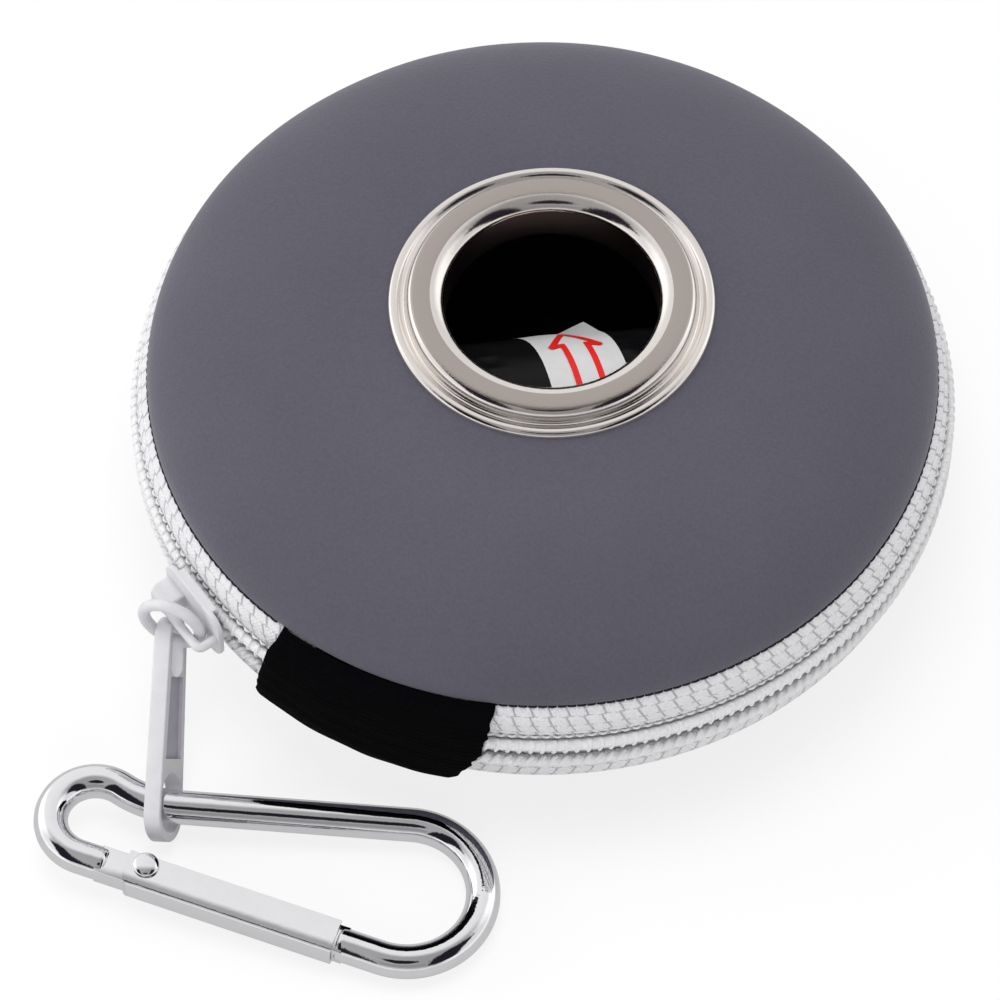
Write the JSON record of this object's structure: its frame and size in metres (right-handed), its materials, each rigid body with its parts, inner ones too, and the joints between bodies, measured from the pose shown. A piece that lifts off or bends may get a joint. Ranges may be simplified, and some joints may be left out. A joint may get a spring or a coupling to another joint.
{
  "type": "dog poop bag dispenser",
  "caption": "Round zipped fabric case that holds a roll of pet waste bags, with an eyelet to pull them through and a snap hook on the zip's pull tab.",
  "frame": {"origin": "centre of the flat back face that the closed case lies on", "axes": "+Z out through the eyelet in the front, the fabric hinge on the -Y side, the snap hook at -Y and -X"},
  "size_m": [0.096, 0.1203, 0.036],
  "materials": {
    "shell_fabric": "smooth matt woven polyester bonded to foam board",
    "lining_fabric": "thin black tricot",
    "tape_fabric": "white twill zip tape",
    "zip_coil": "white nylon coil",
    "hinge_fabric": "black ribbed fabric",
    "eyelet_metal": "nickel plated, satin crown",
    "slider_metal": "white enamel on cast zinc",
    "hook_metal": "polished chrome plate",
    "spring_steel": "bare spring steel",
    "cardboard": "grey-brown paper board, for which wood stands in",
    "bag_film": "black polythene film, wound",
    "label_paper": "white paper with a printed red arrow"
  },
  "bodies": {
    "case_back": {"back_shell": "shell_fabric", "back_lining": "lining_fabric", "back_zip_tape": "tape_fabric", "back_zip_coil": "zip_coil", "hinge_cover": "hinge_fabric", "hinge_lining": "lining_fabric"},
    "case_front": {"front_shell": "shell_fabric", "front_lining": "lining_fabric", "front_zip_tape": "tape_fabric", "front_zip_coil": "zip_coil", "eyelet": "eyelet_metal", "eyelet_washer": "eyelet_metal"},
    "slider": {"slider_body": "slider_metal", "slider_bridge": "slider_metal"},
    "ring": {"slider_ring": "slider_metal"},
    "tab": {"pull_tab": "slider_metal"},
    "hook": {"hook_frame": "hook_metal", "gate_rivet": "hook_metal"},
    "gate": {"hook_gate": "hook_metal", "gate_spring": "spring_steel"},
    "roll": {"roll_core": "cardboard", "bag_roll": "bag_film", "roll_label": "label_paper"}
  },
  "joints": [
    {"name": "lid_hinge", "type": "hinge", "parent": "case_back", "child": "case_front", "pos_m": [0, -0.04825, 0.017], "axis": [1, 0, 0], "range_deg": [0, 120], "deforming": ["front_zip_tape", "front_zip_coil", "hinge_cover", "hinge_lining"]},
    {"name": "slider_travel", "type": "hinge", "parent": "case_back", "child": "slider", "pos_m": [0, 0, 0.017], "axis": [0, 0, 1], "range_deg": [-298, 0]},
    {"name": "ring_swing", "type": "hinge", "parent": "slider", "child": "ring", "pos_m": [-0.02524, -0.04461, 0.017], "axis": [0.8704, -0.4924, 0], "range_deg": [-18, 4]},
    {"name": "tab_swing", "type": "hinge", "parent": "ring", "child": "tab", "pos_m": [-0.02585, -0.04512, 0.01357], "axis": [0.9922, 0.0679, -0.1045], "range_deg": [-50, 45]},
    {"name": "hook_swing", "type": "hinge", "parent": "tab", "child": "hook", "pos_m": [-0.01972, -0.06028, 0.0039], "axis": [0.9694, 0.2399, -0.0514], "range_deg": [-60, 90]},
    {"name": "gate_hinge", "type": "hinge", "parent": "hook", "child": "gate", "pos_m": [-0.01739, -0.06907, 0.00389], "axis": [0.0499, 0.0123, 0.9987], "range_deg": [0, 25], "stiffness_Nm_per_rad": 0.03, "springref_deg": -20.05, "deforming": ["gate_spring"]},
    {"name": "roll_spin", "type": "hinge", "parent": "case_back", "child": "roll", "pos_m": [0.0032, -0.0043, 0.01624], "axis": [0.8572, 0.515, 0], "continuous": true}
  ]
}
